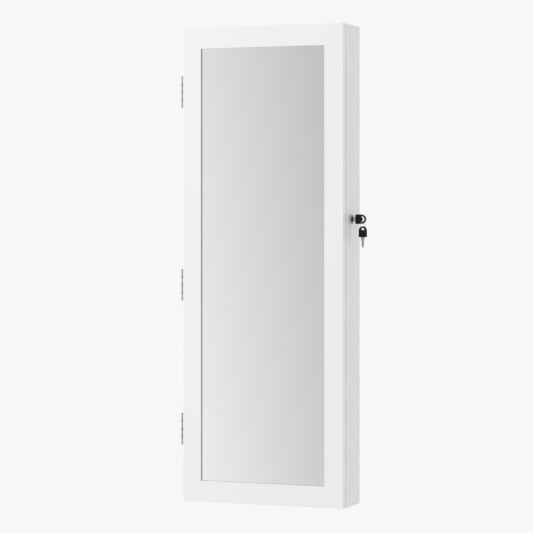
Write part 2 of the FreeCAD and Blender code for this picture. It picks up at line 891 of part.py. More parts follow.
def bow():
    """A moulded bow in its own frame: it starts at X = 0, lies in the XZ plane and has a crescent hole."""
    half = bow_thickness / 2
    plate = bow_outline().extrude(Vector(0, bow_thickness, 0))
    plate.translate(Vector(0, -half, 0))
    hole = along_y(bow_hole_radius, hole_centre, half + PAST)
    tab = along_y(bow_hole_radius, hole_centre - bow_opening, half + 2 * PAST)
    return bored(plate, [hole.cut(tab), blade_tang()])


def blade_tang():
    """The end of the blade that the bow is moulded round."""
    y, z = blade_thickness / 2, blade_tang_width / 2
    return block(0, blade_tang_length, -y, y, -z, z)


def blade():
    """A flat key blade in the bow's frame, along -X, with the same cuts in both edges."""
    half = blade_width / 2
    edge = [
        (0, blade_shoulder_width / 2),
        (blade_shoulder_straight, blade_shoulder_width / 2),
        (blade_shoulder_length, half),
    ]
    for i, depth in enumerate(bitting_depths):
        middle = bitting_first + i * bitting_pitch
        start, end = middle - bitting_land / 2, middle + bitting_land / 2
        edge += [(start - depth, half), (start, half - depth), (end, half - depth), (end + depth, half)]
    edge += [(blade_length - blade_tip, half), (blade_length, half - blade_tip)]
    outline = [(-a, h) for a, h in edge] + [(-a, -h) for a, h in reversed(edge)]
    points = [Vector(x, -blade_thickness / 2, z) for x, z in outline + outline[:1]]
    flat = Part.Face(Part.makePolygon(points)).extrude(Vector(0, blade_thickness, 0))
    grooves = []
    for side in (-1, 1):
        middle = side * blade_groove_spacing / 2
        y0, y1 = sorted((side * (blade_thickness / 2 - blade_groove_depth), side * blade_thickness))
        z0, z1 = middle - blade_groove_width / 2, middle + blade_groove_width / 2
        grooves.append(block(-blade_length - PAST, -blade_shoulder_length, y0, y1, z0, z1))
    return bored(flat.fuse(blade_tang()).removeSplitter(), grooves)


def in_lock(solid):
    """Moves a key's piece from its own frame into the lock."""
    solid.translate(on_axis(bow_start))
    return solid


def sag(half_chord):
    """How far the ring's wire falls away from its top at a distance along its plane."""
    return ring_radius - math.sqrt(ring_radius**2 - half_chord**2)


def ring_centre():
    """The middle of the ring, hung from the rim of the key's hole."""
    half_chord = bow_thickness / 2 / math.cos(math.radians(ring_yaw))
    shift = ring_from_hole_centre + half_chord * math.sin(math.radians(ring_yaw))
    room = bow_hole_radius - wire_reach - ring_seat_gap
    drop = math.sqrt(room**2 - shift**2) - sag(half_chord) + ring_radius
    return on_axis(bow_start + hole_centre + ring_from_hole_centre) - Vector(0, 0, drop)


def key_ring():
    """The ring of square wire that joins the two keys, hanging plumb."""
    half, inside, outside = ring_wire / 2, ring_inner_radius, ring_inner_radius + ring_wire
    ring = turned([(-half, inside), (half, inside), (half, outside), (-half, outside)])
    ring.Placement = Placement(ring_centre(), Rotation(UPWARD, -ring_yaw))
    return ring


def on_ring(solid):
    """Moves a key's piece from its own frame to hang from the bottom of the ring, square to the ring."""
    wire_z = ring_centre().z - ring_radius
    hole_top = wire_z + wire_reach + sag(bow_thickness / 2) + ring_seat_gap
    base = Vector(ring_centre().x, lock_y, hole_top - hole_centre - bow_hole_radius)
    turn = Rotation(UPWARD, -ring_yaw) * Rotation(INWARD, -90)
    solid.Placement = Placement(base, turn)
    return solid


# ---- all the pieces, by name ----


def cabinet_pieces():
    """The carcass and what is fixed inside it."""
    pieces = {
        "left_side_panel": side_panel(-1),
        "right_side_panel": side_panel(1),
        "top_panel": end_panel(1),
        "bottom_panel": end_panel(-1),
        "back_panel": back_panel(),
        "upper_hanging_rail": hanging_rail(1),
        "lower_hanging_rail": hanging_rail(-1),
        "back_lining": back_lining(),
        "necklace_hooks": necklace_hooks(),
        "ring_board": ring_board(),
        "ring_rolls": ring_rolls(),
        "door_bumpers": door_bumpers(),
    }
    pieces.update({name: shelf(top) for name, top in shelf_tops.items()})
    pieces.update({name: guard_strip(floor) for name, floor in guarded_floors.items()})
    return pieces


def door_pieces():
    """The door's frame, its mirror and what is fixed to its back."""
    pieces = {
        "left_door_stile": door_stile(-1),
        "right_door_stile": door_stile(1),
        "top_door_rail": door_rail(1),
        "bottom_door_rail": door_rail(-1),
        "mirror_glass": mirror_glass(),
        "mirror_backing": mirror_backing(),
        "door_lining": door_lining(),
        "earring_spacers": earring_spacers(),
        "strike_plate": strike_plate(),
        "catch_plate": catch_plate(),
        "door_fitting_screws": screws(strike_screw_places() + [catch_plate_screw_place()], OUTWARD),
    }
    for name, top in zip(("upper", "middle", "lower"), earring_bar_tops):
        pieces[name + "_earring_bar"] = earring_bar(top)
    return pieces


def hardware_pieces():
    """Hinges, catch and lock."""
    return {
        "hinge_leaves_cabinet": hinge_leaves(1),
        "hinge_leaves_door": hinge_leaves(-1),
        "hinge_pins": hinge_pins(),
        "hinge_screws_cabinet": screws(hinge_screw_places(1), INWARD),
        "hinge_screws_door": screws(hinge_screw_places(-1), OUTWARD),
        "catch_case": catch_case(),
        "catch_magnet": catch_magnet(),
        "catch_poles": catch_poles(),
        "catch_screws": screws(catch_screw_places(), UPWARD),
        "lock_housing": lock_housing(),
        "lock_nut": lock_nut(),
        "lock_plug": lock_plug(),
        "lock_cam": lock_cam(),
        "cam_screw": cam_screw(),
    }


def key_pieces():
    """The key in the lock, the ring and the spare key on it."""
    return {
        "key_bow": in_lock(bow()),
        "key_blade": in_lock(blade()),
        "key_ring": key_ring(),
        "spare_key_bow": on_ring(bow()),
        "spare_key_blade": on_ring(blade()),
    }


os.makedirs("parts", exist_ok=True)
for group in (cabinet_pieces(), door_pieces(), hardware_pieces(), key_pieces()):
    for node, shape in group.items():
        shape.exportStep(os.path.join("parts", node + ".step"))
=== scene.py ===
from math import cos, pi, radians, sin

import bmesh
import bpy
from mathutils import Matrix, Vector


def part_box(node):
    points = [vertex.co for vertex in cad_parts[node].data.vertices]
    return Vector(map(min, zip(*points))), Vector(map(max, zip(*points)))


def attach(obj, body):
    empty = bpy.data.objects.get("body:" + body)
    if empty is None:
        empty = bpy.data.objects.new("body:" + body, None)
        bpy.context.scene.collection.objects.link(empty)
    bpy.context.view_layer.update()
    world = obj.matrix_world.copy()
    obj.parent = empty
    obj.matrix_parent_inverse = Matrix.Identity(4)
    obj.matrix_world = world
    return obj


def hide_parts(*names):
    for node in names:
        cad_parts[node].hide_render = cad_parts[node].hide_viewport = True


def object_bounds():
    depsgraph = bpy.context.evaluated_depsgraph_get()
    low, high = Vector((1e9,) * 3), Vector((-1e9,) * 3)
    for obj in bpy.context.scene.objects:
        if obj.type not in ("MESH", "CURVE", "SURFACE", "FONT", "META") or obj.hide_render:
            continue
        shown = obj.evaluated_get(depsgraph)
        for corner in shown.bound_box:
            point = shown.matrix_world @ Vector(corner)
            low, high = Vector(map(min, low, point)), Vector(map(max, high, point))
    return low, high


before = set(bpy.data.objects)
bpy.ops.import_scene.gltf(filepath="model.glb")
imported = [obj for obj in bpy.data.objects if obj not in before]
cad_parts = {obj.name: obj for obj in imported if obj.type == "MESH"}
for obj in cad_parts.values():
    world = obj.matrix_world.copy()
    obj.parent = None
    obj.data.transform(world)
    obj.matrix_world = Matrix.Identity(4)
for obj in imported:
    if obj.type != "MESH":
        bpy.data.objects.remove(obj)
cad_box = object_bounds()

# ---- Camera ----
# It stands level, well to the right of the cabinet, with a long lens. The door is seen a little from the
# lock's side, and the horizon lies above the middle of the picture.
image_width = 533  # pixels
horizon_row = 216.0  # pixels from the top
sensor_width = 36.0  # mm
lens_length = 145.9  # mm
camera_yaw = radians(21.8)
camera_distance = 4.776
camera_target = Vector((0.011, -0.108, 0.109))

camera_data = bpy.data.cameras.new("camera")
camera_data.sensor_width = sensor_width
camera_data.lens = lens_length
camera_data.shift_y = (horizon_row - image_width / 2) / image_width
camera_data.clip_end = 100
camera = bpy.data.objects.new("camera", camera_data)
camera.location = camera_target + camera_distance * Vector((sin(camera_yaw), -cos(camera_yaw), 0))
camera.rotation_euler = (radians(90), 0, camera_yaw)
bpy.context.scene.collection.objects.link(camera)
bpy.context.scene.camera = camera
bpy.context.scene.view_settings.view_transform = "Standard"

# ---- Studio ----
# The cabinet hangs over a pale round floor. A bright pale room stands all round, a little greyer in front on
# the right, so that the mirror shows a soft change of tone from side to side.
floor_drop = 0.5  # from the cabinet's bottom to the floor
floor_radius = 2.2
floor_tone = "#F4F2F1"
room_tint = (1.0, 0.984, 0.992)  # linear
grey_way, bright_way = 0.345, 0.46  # X over Y of the directions between which the room's front changes
grey_light, bright_light = 0.571, 1.008
low_way, high_way = -0.14, 0.09  # Z of the directions between which it changes from low to high
low_light, high_light = 1.072, 0.916
back_light = 0.94
back_blend = 0.1  # Y of the directions in which the front's light gives way to the back's
lamp_width = 2.0
lamps = (("high_lamp", (-1.3, -3.2, 2.4), 26), ("side_lamp", (-3.2, -3.2, 0.35), 32))  # name, place, power


def linear(hex_colour):
    """An sRGB colour as a linear colour with an alpha of 1."""
    parts = [int(hex_colour[i:i + 2], 16) / 255 for i in (1, 3, 5)]
    return [c / 12.92 if c < 0.04045 else ((c + 0.055) / 1.055) ** 2.4 for c in parts] + [1]


def add_node(tree, kind, values=None, links=None):
    """Adds a node. Values go to its inputs or its own settings by name, and links to its inputs."""
    made = tree.nodes.new(kind)
    for name, value in (values or {}).items():
        if isinstance(name, int) or name in made.inputs:
            made.inputs[name].default_value = value
        else:
            setattr(made, name, value)
    for name, source in (links or {}).items():
        tree.links.new(source, made.inputs[name])
    return made


def start_material(name, even):
    """A new material, its tree, its shader with what is even all over, and the piece's own coordinates."""
    material = bpy.data.materials.new(name)
    material.use_nodes = True
    tree = material.node_tree
    shader = tree.nodes["Principled BSDF"]
    for setting, value in even.items():
        shader.inputs[setting].default_value = value
    return material, tree, shader, add_node(tree, "ShaderNodeTexCoord").outputs["Object"]


def deselect_all():
    """Leaves nothing selected, as a new piece needs."""
    for other in bpy.context.selected_objects:
        other.select_set(False)


def light_room():
    """The room's light, by direction. X over Y picks the place in front that the mirror shows."""
    world = bpy.data.worlds.new("studio")
    world.use_nodes = True
    tree = world.node_tree
    toward = add_node(tree, "ShaderNodeTexCoord").outputs["Generated"]
    x, y, z = add_node(tree, "ShaderNodeSeparateXYZ", links={0: toward}).outputs
    sideways = add_node(tree, "ShaderNodeMath", {"operation": "DIVIDE"}, {0: x, 1: y})
    across = add_node(tree, "ShaderNodeMapRange", {
        "From Min": grey_way, "From Max": bright_way, "To Min": grey_light, "To Max": bright_light},
        {"Value": sideways.outputs[0]})
    upright = add_node(tree, "ShaderNodeMapRange", {
        "From Min": low_way, "From Max": high_way, "To Min": low_light, "To Max": high_light}, {"Value": z})
    front = add_node(tree, "ShaderNodeMath", {"operation": "MULTIPLY"}, {
        0: across.outputs[0], 1: upright.outputs[0]})
    behind = add_node(tree, "ShaderNodeMapRange", {
        "From Min": -back_blend, "From Max": back_blend}, {"Value": y})
    tone = add_node(tree, "ShaderNodeMix", {"B": back_light}, {
        "Factor": behind.outputs[0], "A": front.outputs[0]})
    tint = add_node(tree, "ShaderNodeVectorMath", {
        "operation": "MULTIPLY", 1: room_tint}, {0: tone.outputs[0]})
    tree.links.new(tint.outputs[0], tree.nodes["Background"].inputs["Color"])
    bpy.context.scene.world = world


def hang_lamp(name, place, power):
    """A soft square lamp that faces the cabinet."""
    lamp = bpy.data.lights.new(name, "AREA")
    lamp.size = lamp_width
    lamp.energy = power
    holder = bpy.data.objects.new(name, lamp)
    holder.location = place
    holder.rotation_euler = (-Vector(place)).to_track_quat("-Z", "Y").to_euler()
    bpy.context.scene.collection.objects.link(holder)


deselect_all()
bpy.ops.mesh.primitive_circle_add(
    vertices=128, radius=floor_radius, fill_type="NGON", location=(0, 0, cad_box[0].z - floor_drop))
studio_floor = bpy.context.object
studio_floor.name = "studio_floor"
floor_paint = start_material("pale_painted_floor", {"Base Color": linear(floor_tone), "Roughness": 0.8})[0]
studio_floor.data.materials.append(floor_paint)
light_room()
for name, place, power in lamps:
    hang_lamp(name, place, power)

# ---- Carcass ----
# Two full-height sides, a top and a bottom board, and two rails that the wall screws go through. They are
# fibreboard, sprayed with white satin lacquer, glued and pinned together and cut back for the thin back.
lacquer_cloud = 0.2  # the white changes faintly over this width
orange_peel = 0.0022  # from one ripple of the sprayed coat to the next
peel_depth = 0.00004


def lay_finish(tree, shader, share, dull, bright, relief=None, depth=0, strength=0):
    """Colours a surface between two tones by one pattern, and raises it by another of a real depth."""
    tone = add_node(tree, "ShaderNodeMix", {
        "data_type": "RGBA", 6: linear(dull), 7: linear(bright)}, {0: share})
    tree.links.new(tone.outputs[2], shader.inputs["Base Color"])
    if relief:
        bump = add_node(tree, "ShaderNodeBump", {"Distance": depth, "Strength": strength}, {"Height": relief})
        tree.links.new(bump.outputs[0], shader.inputs["Normal"])


def satin_lacquer(name, bright, dull):
    """Sprayed satin lacquer: nearly even white, a soft gloss, and the faint ripple of the spray."""
    material, tree, shader, place = start_material(name, {"Roughness": 0.38})
    cloud = add_node(tree, "ShaderNodeTexNoise", {
        "Scale": 1 / lacquer_cloud, "Detail": 3.0}, {"Vector": place})
    peel = add_node(tree, "ShaderNodeTexNoise", {"Scale": 1 / orange_peel, "Detail": 1.0}, {"Vector": place})
    lay_finish(tree, shader, cloud.outputs[0], dull, bright, peel.outputs[0], peel_depth, 0.5)
    return material


def dress(material, *names):
    """Gives a material to CAD nodes."""
    for name in names:
        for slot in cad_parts[name].material_slots:
            slot.material = material


dress(satin_lacquer("satin_lacquer_boards", "#F1F1F1", "#EBEBEB"),
      "left_side_panel", "right_side_panel", "top_panel", "bottom_panel",
      "upper_hanging_rail", "lower_hanging_rail")

# ---- Back ----
# A thin sheet of hardboard, faced white, let into the boards round it. Its back shows when the cabinet is
# off the wall: a pressed, faintly fibrous face.
hardboard_fibre = 0.0011  # thickness of the pressed fibres
fibre_depth = 0.0001


def hardboard(name, pale, dark, fleck):
    """Pressed fibreboard: fine fibres lying every way, matt, with darker flecks."""
    material, tree, shader, place = start_material(name, {"Roughness": 0.75})
    fibre = add_node(tree, "ShaderNodeTexNoise", {
        "Scale": 1 / hardboard_fibre, "Detail": 4.0, "Distortion": 1.5}, {"Vector": place})
    spot = add_node(tree, "ShaderNodeMapRange", {
        "From Min": 0.35, "From Max": fleck}, {"Value": fibre.outputs[0]})
    lay_finish(tree, shader, spot.outputs[0], dark, pale, fibre.outputs[0], fibre_depth, 0.6)
    return material


dress(hardboard("white_faced_hardboard", "#EDECE8", "#D9D6CF", 0.5), "back_panel")

# ---- Velvet linings ----
# Short-pile charcoal velvet glued over thin board: the back, the door's inner face, the shelves and the board
# behind the ring pad. The pile shades where it has been stroked, and glows pale at a grazing angle.
pile_tuft = 0.0005  # tufts drawn a little coarser than real, so that they show
pile_depth = 0.0002
stroke_width = 0.035  # patches of pile that lie the same way
wrap_rounding = 0.0012  # of the cloth round a shelf's edges


def velvet(name):
    """Short-pile velvet: no gloss, a pale sheen at the edges, stroked patches and a fine tufted face."""
    material, tree, shader, place = start_material(name, {
        "Roughness": 0.95, "Specular IOR Level": 0.15,
        "Sheen Weight": 0.9, "Sheen Roughness": 0.35, "Sheen Tint": linear("#9A9AA4")})
    stroke = add_node(tree, "ShaderNodeTexNoise", {
        "Scale": 1 / stroke_width, "Detail": 2.0, "Distortion": 0.8}, {"Vector": place})
    tufts = add_node(tree, "ShaderNodeTexNoise", {"Scale": 1 / pile_tuft, "Detail": 2.0}, {"Vector": place})
    lie = add_node(tree, "ShaderNodeMath", {"operation": "MULTIPLY"}, {
        0: stroke.outputs[0], 1: tufts.outputs[0]})
    shade = add_node(tree, "ShaderNodeMapRange", {
        "From Min": 0.15, "From Max": 0.4}, {"Value": lie.outputs[0]})
    lay_finish(tree, shader, shade.outputs[0], "#1E1E22", "#313138", tufts.outputs[0], pile_depth, 0.7)
    return material


def apply_modifier(piece, kind, **settings):
    """Adds a modifier, sets it and applies it."""
    modifier = piece.modifiers.new(kind.lower(), kind)
    for setting, value in settings.items():
        setattr(modifier, setting, value)
    deselect_all()
    piece.select_set(True)
    bpy.context.view_layer.objects.active = piece
    bpy.ops.object.modifier_apply(modifier=modifier.name)


def finish_piece(piece, material, body, slot, *nodes):
    """Gives a new piece its material, hangs it on the body it rides on, and hides the nodes it stands for."""
    piece.data.materials.clear()
    piece.data.materials.append(material)
    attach(piece, body)
    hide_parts(*nodes)


def rounded_copy(node, name, width):
    """A copy of a CAD node, its loose triangles merged into faces and its sharp edges rounded."""
    piece = bpy.data.objects.new(name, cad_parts[node].data.copy())
    bpy.context.scene.collection.objects.link(piece)
    deselect_all()
    piece.select_set(True)
    bpy.context.view_layer.objects.active = piece
    bpy.ops.object.mode_set(mode="EDIT")
    bpy.ops.mesh.select_all(action="SELECT")
    bpy.ops.mesh.remove_doubles(threshold=1e-6)
    bpy.ops.mesh.dissolve_limited(angle_limit=radians(0.5))
    bpy.ops.mesh.customdata_custom_splitnormals_clear()
    bpy.ops.object.mode_set(mode="OBJECT")
    apply_modifier(piece, "BEVEL", width=width, segments=3, limit_method="ANGLE", angle_limit=radians(40))
    bpy.ops.object.shade_smooth_by_angle(angle=radians(35))
    apply_modifier(piece, "WEIGHTED_NORMAL", keep_sharp=True)
    return piece


charcoal_velvet = velvet("charcoal_velvet")
dress(charcoal_velvet, "back_lining", "door_lining", "ring_board")
for node in ("necklace_shelf", "ring_shelf", "upper_shelf", "lower_shelf"):
    shelf = rounded_copy(node, "wrapped_" + node, wrap_rounding)
    finish_piece(shelf, charcoal_velvet, "cabinet", "velvet_lining", node)

# ---- Ring pad ----
# Six rolls of foam wrapped in the same velvet, glued in a row up their board. Rings stand in the slits
# between them. Each roll is crowned in front, flat on the board and tucked in at its ends.
roll_slack = 0.0001  # the cover starts this much smaller all round, and its stuffing swells it
roll_crown = 0.009  # the rounding of its front edges
roll_tuck = 0.0035  # the rounding of its ends
roll_voxel = 0.0028
roll_pressure = 4
roll_swell = 0.001  # the most that any point moves
stuffing_frames = 20
crease_width = 0.016  # from one soft crease in the cover to the next
crease_depth = 0.0011


def solid_boxes(name):
    """The lowest and highest corners of each separate solid in a CAD node, from the bottom up."""
    merged = bmesh.new()
    merged.from_mesh(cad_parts[name].data)
    bmesh.ops.remove_doubles(merged, verts=merged.verts, dist=1e-6)
    unseen, boxes = set(merged.verts), []
    while unseen:
        edge_of_search, solid = [unseen.pop()], []
        while edge_of_search:
            corner = edge_of_search.pop()
            solid.append(corner.co.copy())
            near = {edge.other_vert(corner) for edge in corner.link_edges} & unseen
            unseen -= near
            edge_of_search.extend(near)
        boxes.append((Vector(map(min, *solid)), Vector(map(max, *solid))))
    merged.free()
    return sorted(boxes, key=lambda box: (round(box[0].z, 4), box[0].x))


def add_block(name, low, high):
    """Adds a cube and fits it to a box. The size goes into its mesh."""
    deselect_all()
    bpy.ops.mesh.primitive_cube_add(size=1, location=(Vector(low) + Vector(high)) / 2)
    block = bpy.context.object
    block.name = name
    block.scale = Vector(high) - Vector(low)
    bpy.ops.object.transform_apply(location=True, rotation=True, scale=True)
    return block


def pick(piece, kind, wanted):
    """In edit mode, selects the edges or the faces that pass a test."""
    bpy.ops.mesh.select_mode(type="EDGE" if kind == "edges" else "FACE")
    bpy.ops.mesh.select_all(action="DESELECT")
    shape = bmesh.from_edit_mesh(piece.data)
    for element in getattr(shape, kind):
        element.select_set(wanted(element))
    bmesh.update_edit_mesh(piece.data)


def stuff(cover, seat):
    """Swells a closed cover by cloth simulation. No point moves further than it may, or behind the seat."""
    starts = [corner.co.copy() for corner in cover.data.vertices]
    cloth = cover.modifiers.new("stuffing", "CLOTH")
    cloth.settings.use_pressure = True
    cloth.settings.uniform_pressure_force = roll_pressure
    cloth.settings.effector_weights.gravity = 0
    for step in range(1, stuffing_frames + 1):
        bpy.context.scene.frame_set(step)
    bpy.context.view_layer.objects.active = cover
    bpy.ops.object.modifier_apply(modifier=cloth.name)
    bpy.context.scene.frame_set(1)
    for corner, start in zip(cover.data.vertices, starts):
        moved = corner.co - start
        corner.co = start + moved * min(1, roll_swell / max(moved.length, 1e-9))
        corner.co.y = min(corner.co.y, seat)


def join(name, pieces):
    """Joins pieces into one under a name."""
    deselect_all()
    for piece in pieces:
        piece.select_set(True)
    bpy.context.view_layer.objects.active = pieces[0]
    if len(pieces) > 1:
        bpy.ops.object.join()
    pieces[0].name = pieces[0].data.name = name
    return pieces[0]


def moved_copy(piece, move):
    """A copy of a piece with its own mesh, moved."""
    copy = piece.copy()
    copy.data = piece.data.copy()
    copy.data.transform(Matrix.Translation(move))
    bpy.context.scene.collection.objects.link(copy)
    return copy


roll_boxes = solid_boxes("ring_rolls")
roll_low, roll_high = roll_boxes[0]
roll_middle = (roll_low.y + roll_high.y) / 2
cover_low = roll_low + Vector((roll_slack, roll_slack, roll_slack))
cover_high = roll_high - Vector((roll_slack, 0, roll_slack))
first_roll = add_block("ring_roll", cover_low, cover_high)
bpy.ops.object.mode_set(mode="EDIT")
pick(first_roll, "edges", lambda edge: all(end.co.y < roll_middle for end in edge.verts))
bpy.ops.mesh.bevel(offset=roll_crown, segments=8, affect="EDGES")
for side in (cover_low.x, cover_high.x):
    pick(first_roll, "edges", lambda edge: all(abs(end.co.x - side) < 1e-5 for end in edge.verts))
    bpy.ops.mesh.bevel(offset=roll_tuck, segments=3, affect="EDGES")
bpy.ops.object.mode_set(mode="OBJECT")
apply_modifier(first_roll, "REMESH", mode="VOXEL", voxel_size=roll_voxel)
stuff(first_roll, roll_high.y)
apply_modifier(first_roll, "SUBSURF", levels=1, render_levels=1)
creases = bpy.data.textures.new("velvet_creases", "CLOUDS")
creases.noise_scale = crease_width
rolls = [first_roll] + [moved_copy(first_roll, (0, 0, low.z - roll_low.z)) for low, high in roll_boxes[1:]]
for roll in rolls:
    apply_modifier(roll, "DISPLACE", texture=creases, texture_coords="GLOBAL", strength=crease_depth,
                   mid_level=0.62)
    for corner in roll.data.vertices:
        corner.co.y = min(corner.co.y, roll_high.y)
ring_pad = join("padded_ring_rolls", rolls)
bpy.ops.object.shade_smooth()
finish_piece(ring_pad, charcoal_velvet, "cabinet", "velvet_roll", "ring_rolls")

# ---- Necklace hooks ----
# One black moulding: a strip screwed along the upper rail with ten hooks. Each hook flares out of the strip,
# runs forward, turns up through a round corner and ends in a rounded tip.
hook_low, hook_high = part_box("necklace_hooks")
hook_count = 10
hook_pitch = 0.032
hook_width, hook_thickness = 0.0045, 0.0035
strip_thickness = 0.003
strip_rounding, hook_rounding = 0.0007, 0.0006
hook_root = 0.0005  # how deep in the strip a hook starts
hook_arm_rise = 0.003  # from the strip's lower edge to the arm's
hook_flare = 0.003
flare_steps = (0.45, 0.3, 0.25)  # shares of the flare's length, each narrowed alike
hook_corner = 0.005  # outside radius of the turn
hook_tip = 0.012  # from the arm's underside to the top of the tip
tip_taper = 0.001
plastic_texture = 0.0004  # grain of the moulds' spark-eroded faces, drawn a little coarse
plastic_flow = 1 / 60  # the moulding's gloss changes over this width


def moulded_plastic(name, bright, dull, roughness, depth, even=None):
    """Injection-moulded plastic: even colour, a soft gloss and the fine grain of the mould."""
    material, tree, shader, place = start_material(name, even or {})
    grain = add_node(tree, "ShaderNodeTexNoise", {
        "Scale": 1 / plastic_texture, "Detail": 2.0}, {"Vector": place})
    flow = add_node(tree, "ShaderNodeTexNoise", {"Scale": 1 / plastic_flow, "Detail": 2.0}, {"Vector": place})
    gloss = add_node(tree, "ShaderNodeMapRange", {
        "To Min": roughness - 0.06, "To Max": roughness + 0.06}, {"Value": flow.outputs[0]})
    tree.links.new(gloss.outputs[0], shader.inputs["Roughness"])
    lay_finish(tree, shader, flow.outputs[0], dull, bright, grain.outputs[0], depth, 0.5)
    return material


arm_root = hook_high.y - strip_thickness
arm_middle = hook_low.z + hook_arm_rise + hook_thickness / 2
arm_end = hook_low.y + hook_corner
strip = add_block("hook_strip", (hook_low.x, arm_root, hook_low.z), hook_high)
apply_modifier(strip, "BEVEL", width=strip_rounding, segments=3)
deselect_all()
bpy.ops.mesh.primitive_plane_add(
    size=1, location=(0, arm_root + hook_root, arm_middle), rotation=(pi / 2, 0, 0))
hook = bpy.context.object
root_width, root_thickness = hook_width + hook_flare, hook_thickness + 2 * hook_flare
hook.scale = (root_width, root_thickness, 1)
bpy.ops.object.transform_apply(location=True, rotation=True, scale=True)
bpy.ops.object.mode_set(mode="EDIT")
bpy.ops.mesh.select_all(action="SELECT")
whole_narrowing = (hook_width / root_width, 1, hook_thickness / root_thickness)
narrowing = [share ** (1 / len(flare_steps)) for share in whole_narrowing]
for part in flare_steps:
    bpy.ops.mesh.extrude_region_move(TRANSFORM_OT_translate={"value": (0, -hook_flare * part, 0)})
    bpy.ops.transform.resize(value=narrowing)
arm_run = arm_end - (arm_root + hook_root - hook_flare)
bpy.ops.mesh.extrude_region_move(TRANSFORM_OT_translate={"value": (0, arm_run, 0)})
corner_centre = (0, arm_end, arm_middle - hook_thickness / 2 + hook_corner)
bpy.ops.mesh.spin(steps=6, angle=pi / 2, center=corner_centre, axis=(-1, 0, 0), use_auto_merge=False)
for rise in (hook_tip - hook_corner - tip_taper, tip_taper):
    bpy.ops.mesh.extrude_region_move(TRANSFORM_OT_translate={"value": (0, 0, rise)})
bpy.ops.transform.resize(value=(0.7, 0.6, 1))
bpy.ops.mesh.select_all(action="SELECT")
bpy.ops.mesh.remove_doubles(threshold=1e-6)
bpy.ops.mesh.normals_make_consistent(inside=False)
bpy.ops.object.mode_set(mode="OBJECT")
apply_modifier(hook, "BEVEL", width=hook_rounding, segments=2, limit_method="ANGLE", angle_limit=radians(50))
hooks = [moved_copy(hook, ((i - (hook_count - 1) / 2) * hook_pitch, 0, 0)) for i in range(hook_count)]
bpy.data.objects.remove(hook)
hook_moulding = join("moulded_necklace_hooks", [strip] + hooks)
bpy.ops.object.shade_smooth_by_angle(angle=radians(40))
black_abs = moulded_plastic("black_moulded_abs", "#1B1B1C", "#121213", 0.3, 0.00002)
finish_piece(hook_moulding, black_abs, "cabinet", "black_hook_plastic", "necklace_hooks")

# ---- Guard strips ----
# Clear strips cast in acrylic that stop small boxes sliding off the open shelves. Each stands on its shelf,
# its ends let into the sides.
smear_width = 0.03  # faint wiping marks
polished_rounding = 0.0004


def clear_acrylic(name):
    """Cast acrylic: clear, very smooth, and faintly smeared where it has been wiped."""
    material, tree, shader, place = start_material(name, {"Transmission Weight": 1, "IOR": 1.49})
    smear = add_node(tree, "ShaderNodeTexNoise", {"Scale": 1 / smear_width, "Detail": 3.0}, {"Vector": place})
    gloss = add_node(tree, "ShaderNodeMapRange", {
        "From Min": 0.4, "To Min": 0.02, "To Max": 0.09}, {"Value": smear.outputs[0]})
    tree.links.new(gloss.outputs[0], shader.inputs["Roughness"])
    lay_finish(tree, shader, smear.outputs[0], "#F2FAF8", "#FBFEFD")
    return material


acrylic = clear_acrylic("clear_cast_acrylic")
for node in ("upper_guard_strip", "middle_guard_strip", "lower_guard_strip"):
    guard = rounded_copy(node, "polished_" + node, polished_rounding)
    finish_piece(guard, acrylic, "cabinet", "clear_acrylic", node)

# ---- Door frame ----
# Two stiles and two rails of the same lacquered fibreboard, plain and square with softly eased front edges,
# rebated behind for the mirror. They are sprayed together, so no joint line shows.
painted_shade_depth = 0.0024  # painted shade in the opening starts this far behind the frame's front face
painted_shade_fade = 0.0012
opening_slack = 0.0002  # past the opening's own faces


def paint_shade_over(material, share, colour):
    """Lays a colour over a finished material where share is 1; each use here paints shade."""
    shader = material.node_tree.nodes["Principled BSDF"]
    under = shader.inputs["Base Color"].links[0].from_socket
    tone = add_node(material.node_tree, "ShaderNodeMix", {
        "data_type": "RGBA", 7: linear(colour)}, {0: share, 6: under})
    material.node_tree.links.new(tone.outputs[2], shader.inputs["Base Color"])


def lacquer_with_painted_opening_shade(name, bright, dull, opening_shade):
    """The same lacquer with painted shade: a grey laid on the opening's inner faces, deep behind the front
    face.
    """
    material = satin_lacquer(name, bright, dull)
    tree = material.node_tree
    place = add_node(tree, "ShaderNodeTexCoord").outputs["Object"]
    x, y, z = add_node(tree, "ShaderNodeSeparateXYZ", links={0: place}).outputs
    left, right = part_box("left_door_stile")[1].x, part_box("right_door_stile")[0].x
    low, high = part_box("bottom_door_rail")[1].z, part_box("top_door_rail")[0].z
    across = add_node(tree, "ShaderNodeMath", {
        "operation": "COMPARE", 1: (left + right) / 2, 2: (right - left) / 2 + opening_slack}, {0: x})
    up = add_node(tree, "ShaderNodeMath", {
        "operation": "COMPARE", 1: (low + high) / 2, 2: (high - low) / 2 + opening_slack}, {0: z})
    inside = add_node(tree, "ShaderNodeMath", {"operation": "MULTIPLY"}, {
        0: across.outputs[0], 1: up.outputs[0]})
    start = cad_box[0].y + painted_shade_depth
    deep = add_node(tree, "ShaderNodeMapRange", {
        "From Min": start - painted_shade_fade, "From Max": start}, {"Value": y})
    share = add_node(tree, "ShaderNodeMath", {"operation": "MULTIPLY"}, {
        0: inside.outputs[0], 1: deep.outputs[0]})
    paint_shade_over(material, share.outputs[0], opening_shade)
    return material


# The frame's lacquer carries painted shade deep in the mirror opening.
dress(lacquer_with_painted_opening_shade("satin_lacquer_door_frame", "#F6F7F9", "#F2F3F5", "#A9AAAC"),
      "left_door_stile", "right_door_stile", "top_door_rail", "bottom_door_rail")

# ---- Mirror ----
# Three millimetres of float glass silvered behind, laid in the frame's rebate from the back. A sheet of brown
# hardboard backs it.
glass_ripple = 0.12  # float glass is very slightly wavy over this length
ripple_depth = 0.00002


